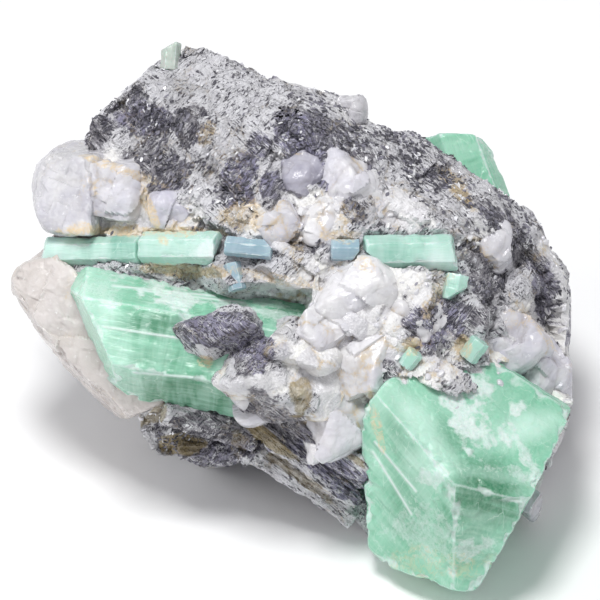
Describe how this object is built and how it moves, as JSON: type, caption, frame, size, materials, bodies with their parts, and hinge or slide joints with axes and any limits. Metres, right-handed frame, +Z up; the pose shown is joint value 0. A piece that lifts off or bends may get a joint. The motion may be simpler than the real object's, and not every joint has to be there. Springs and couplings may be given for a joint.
{
  "type": "emerald in matrix",
  "caption": "Rough mineral specimen: milky green beryl prisms grown in a broken block of mica schist and granular quartz, lying on a flat broken underside",
  "frame": {"origin": "middle of the footprint's box on the surface that the specimen lies on", "axes": "+Z up from the flat underside; +X to the right and +Y away when seen from the show face, which faces -Y and up"},
  "size_m": [0.0992, 0.0904, 0.0679],
  "materials": {
    "schist": "rough broken mica schist, black and white speckled, with sparkling flakes",
    "quartz_smoky": "glassy, warm grey, milky translucent",
    "quartz_pale": "glassy broken, white with a lilac tint, milky translucent",
    "emerald": "waxy to glassy cleavage faces, milky green",
    "emerald_pale": "waxy, pale mint green",
    "beryl_blue": "glassy, grey blue to teal"
  },
  "bodies": {
    "root": {"matrix": "schist", "quartz_lower_left": "quartz_smoky", "quartz_upper_left": "quartz_pale", "emerald_left": "emerald", "emerald_lower_right": "emerald", "emerald_back": "emerald", "emerald_row_left": "emerald", "emerald_row_right": "emerald", "emerald_row_middle": "emerald_pale", "emerald_row_stub": "emerald_pale", "emerald_chip_left": "emerald_pale", "emerald_chip_right": "emerald_pale", "emerald_tip_top": "emerald_pale", "beryl_blue_west": "beryl_blue", "beryl_blue_east": "beryl_blue", "beryl_teal_stub": "beryl_blue"}
  },
  "joints": []
}
